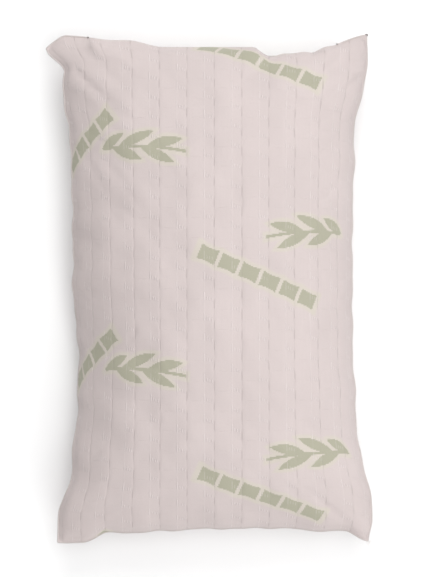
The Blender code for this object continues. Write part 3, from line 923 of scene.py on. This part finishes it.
def make_chain(nylon):
    """Two coils of nylon whose turns lie between each other's."""
    for name, sign, phase in (("zip_chain_upper", 1, 0.0), ("zip_chain_lower", -1, math.pi)):
        low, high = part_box(name)
        turns = int((high.x - low.x - 2 * COIL_WIRE) / COIL_PITCH)
        angle = np.linspace(0, turns * 2 * math.pi, turns * COIL_STEPS)
        depth = (high.y - low.y) / 2 - COIL_WIRE
        reach = (high.z - low.z) / 2 - COIL_WIRE
        x = low.x + COIL_WIRE + COIL_PITCH * angle / (2 * math.pi)
        y = (low.y + high.y) / 2 + depth * np.cos(angle + phase)
        z = (low.z + high.z) / 2 + reach * np.sin(angle + phase)
        coil = strand(name + "_coil", [np.stack([x, y, z], axis=1)], COIL_WIRE, nylon)
        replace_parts(coil, name)


def refine_metal(metal):
    """Rounds the edges of the zip's metal nodes."""
    for name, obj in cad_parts.items():
        if name in ("zip_slider_body", "zip_pull_tab") or "_stop" in name:
            paint(name, metal)
            rounding = obj.modifiers.new("rounded", "BEVEL")
            rounding.width = 0.00018
            rounding.segments = 3
            rounding.limit_method = "ANGLE"
            rounding.harden_normals = True


# The pillow's layers.


def make_cover(knit, front, back):
    finished = []
    for name, grid, sign in (("cover_front_panel", front, 1), ("cover_back_panel", back, -1)):
        points, place = finished_panel(grid, sign)
        obj = knit_panel("knit_" + name, points, place, sign, knit)
        thicken(obj, CLOTH)
        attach(obj, "pillow")
        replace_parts(obj, name)
        finished.append((points, place))
    return finished


def inner_layer(front, back, inset, gap):
    """A front and a back surface inside the cover, this far in from its seam and under its panels."""
    across = np.linspace(-1, 1, 61) * (1 - inset / (CUT_WIDTH / 2))
    foot, head = inset, inset + BEHIND_ZIP
    along = np.linspace(foot / (CUT_LENGTH / 2) - 1, 1 - head / (CUT_LENGTH / 2), 91)
    top, bottom = resampled(front, across, along), resampled(back, across, along)
    middle, half = (top + bottom) / 2, (top - bottom) / 2
    thickness = np.linalg.norm(half, axis=-1, keepdims=True)
    s, t = np.meshgrid(np.linspace(-1, 1, 61), np.linspace(-1, 1, 91), indexing="ij")
    closing = np.sqrt((1 - s ** 14) * (1 - t ** 14))[..., None]
    share = np.clip(1 - gap / np.maximum(thickness, 1e-6), 0.05, 1) * closing
    return middle + half * share, middle - half * share


def make_liner(front, back, cloth, thread):
    top, bottom = inner_layer(front, back, LINER_INSET, LINER_GAP)
    for name, points, sign in (("liner_front_panel", top, 1), ("liner_back_panel", bottom, -1)):
        obj = new_object(name + "_cloth", points, faces_of(numbered(points), sign < 0), cloth)
        thicken(obj, LINER_CLOTH)
        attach(obj, "pillow")
        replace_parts(obj, name)
    edges = {"left": top[0, :], "right": top[-1, :], "foot": top[:, 0], "head": top[:, -1]}
    for name, line in edges.items():
        turns = wound(line, 0.0007, 0.0040)
        seam = strand(f"liner_seam_{name}_thread", [turns], 0.0003, thread, resolution=0)
        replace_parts(seam, "liner_seam_" + name)
    return top


def make_label(liner_top, satin):
    """A blank label that lies on the liner's front."""
    low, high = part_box("liner_label")
    away = liner_top[:, :, :2] - np.array((low + high) / 2)[:2]
    i, j = np.unravel_index((away ** 2).sum(axis=-1).argmin(), liner_top.shape[:2])
    cell_width = np.linalg.norm(liner_top[i + 1, j] - liner_top[i - 1, j]) / 2
    cell_length = np.linalg.norm(liner_top[i, j + 1] - liner_top[i, j - 1]) / 2
    across = i + np.linspace(-0.5, 0.5, 21) * LABEL_WIDTH / cell_width
    along = j + np.linspace(-0.5, 0.5, 31) * LABEL_LENGTH / cell_length
    last_i, last_j = liner_top.shape[0] - 1, liner_top.shape[1] - 1
    points = resampled(liner_top, across / last_i * 2 - 1, along / last_j * 2 - 1)
    points += normals(points) * 0.0007
    obj = new_object("liner_label_satin", points, faces_of(numbered(points)), satin)
    thicken(obj, 0.0003)
    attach(obj, "pillow")
    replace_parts(obj, "liner_label")


def make_foam(front, back, foam):
    """One closed body of shredded foam, with the shreds' lumps in its surface."""
    top, bottom = inner_layer(front, back, FOAM_INSET, FOAM_GAP)
    index = numbered(top)
    faces = faces_of(index) + faces_of(index + index.size, flipped=True)
    points = np.concatenate([top.reshape(-1, 3), bottom.reshape(-1, 3)])
    obj = new_object("foam_fill_shreds", points, faces, foam)
    weld = obj.modifiers.new("weld", "WELD")
    weld.merge_threshold = 0.00005
    finer = obj.modifiers.new("finer", "SUBSURF")
    finer.levels = finer.render_levels = 1
    shreds = bpy.data.textures.new("shreds", "VORONOI")
    shreds.noise_scale = 0.011
    raised = obj.modifiers.new("shreds", "DISPLACE")
    raised.texture = shreds
    raised.texture_coords = "LOCAL"
    raised.strength = -0.0035
    raised.mid_level = 0.0
    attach(obj, "pillow")
    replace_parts(obj, "foam_fill")


# The stage, camera and lights.


def make_stage():
    floor, tree, shader = new_material("floor", (0.93, 0.93, 0.93), 0.9)
    paper = mix(tree, noise(tree, 3.0), (0.92, 0.92, 0.92), (0.94, 0.94, 0.94))
    tree.links.new(paper, shader.inputs["Base Color"])
    mesh = bpy.data.meshes.new("floor")
    corners = [(-FLOOR, -FLOOR, 0), (FLOOR, -FLOOR, 0), (FLOOR, FLOOR, 0), (-FLOOR, FLOOR, 0)]
    mesh.from_pydata(corners, [], [(0, 1, 2, 3)])
    mesh.materials.append(floor)
    obj = bpy.data.objects.new("floor", mesh)
    obj.location.z = -0.0005
    bpy.context.scene.collection.objects.link(obj)


def look(obj, place, target):
    obj.location = place
    obj.rotation_euler = (Vector(target) - Vector(place)).to_track_quat("-Z", "Y").to_euler()
    bpy.context.scene.collection.objects.link(obj)


def make_camera():
    """A camera that looks straight down."""
    data = bpy.data.cameras.new("camera")
    data.sensor_fit = "VERTICAL"
    data.sensor_height = CAMERA_SENSOR
    data.lens = CAMERA_SENSOR * CAMERA_DISTANCE / CAMERA_SEES
    obj = bpy.data.objects.new("camera", data)
    obj.location = (0.0055, 0.0020, CAMERA_HEIGHT)
    bpy.context.scene.collection.objects.link(obj)
    bpy.context.scene.camera = obj


def make_lights():
    for name, place, size, power in (
        ("overhead", (0.45, 0.10, 2.40), 1.8, 19.0),
        ("head_light", (0.00, 1.60, 1.50), 1.2, 17.0),
        ("foot_light", (0.80, -1.60, 1.40), 1.2, 14.0),
    ):
        data = bpy.data.lights.new(name, "AREA")
        data.size = size
        data.energy = power
        look(bpy.data.objects.new(name, data), place, (0.0, 0.0, 0.0))


def make_world():
    """Soft light from all round, a little less of it from the left."""
    world = bpy.data.worlds.new("studio")
    world.use_nodes = True
    tree = world.node_tree
    direction = tree.nodes.new("ShaderNodeTexCoord")
    split = tree.nodes.new("ShaderNodeSeparateXYZ")
    tree.links.new(direction.outputs["Generated"], split.inputs[0])
    from_right = Value(tree, split.outputs[0]) * 0.5 + 0.5
    light = mix(tree, from_right, (0.43, 0.43, 0.43), (0.75, 0.75, 0.75))
    tree.links.new(light, tree.nodes["Background"].inputs["Color"])
    bpy.context.scene.world = world


def paint(name, material):
    """Gives a CAD node that stays in view its finished material."""
    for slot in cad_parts[name].material_slots:
        slot.material = material


def main():
    make_camera()
    make_stage()
    make_lights()
    make_world()
    bpy.context.scene.view_settings.view_transform = "Standard"
    front, back = before_inflating(1), before_inflating(-1)
    front, back = inflate(front, back)
    front, back = settle(front, back)
    (front_points, front_place), (back_points, back_place) = make_cover(knit_material(), front, back)

    edge_cloth = woven_material("seam_edge", (0.62, 0.56, 0.545), (0.52, 0.47, 0.46))
    overlock = thread_material("overlock_thread", (0.70, 0.66, 0.64), (0.44, 0.38, 0.36))
    white_thread = thread_material("white_thread", (0.76, 0.73, 0.71), (0.52, 0.48, 0.46))
    dark_thread = thread_material("dark_thread", (0.10, 0.07, 0.06), (0.04, 0.03, 0.03))
    make_seams(front, back, edge_cloth, overlock)
    make_knot(front[-1, -1], dark_thread)
    make_frayed_tip(front[-1, 0], (0.55, -0.83), white_thread)
    topstitch("zip_stitching_upper", front_points, front_place, 1, white_thread)
    topstitch("zip_stitching_lower", back_points, back_place, -1, white_thread)
    make_bartacks(front_points, white_thread)

    make_tapes(woven_material("zip_tape", (0.76, 0.72, 0.70), (0.56, 0.52, 0.50)))
    make_chain(nylon_material())
    refine_metal(metal_material())

    liner_cloth = woven_material("liner_cloth", (0.78, 0.78, 0.76), (0.60, 0.60, 0.58))
    satin = woven_material("label_satin", (0.85, 0.85, 0.84), (0.76, 0.76, 0.75), 0.0003, 0.35)
    liner_top = make_liner(front, back, liner_cloth, white_thread)
    make_label(liner_top, satin)
    make_foam(front, back, foam_material())


main()
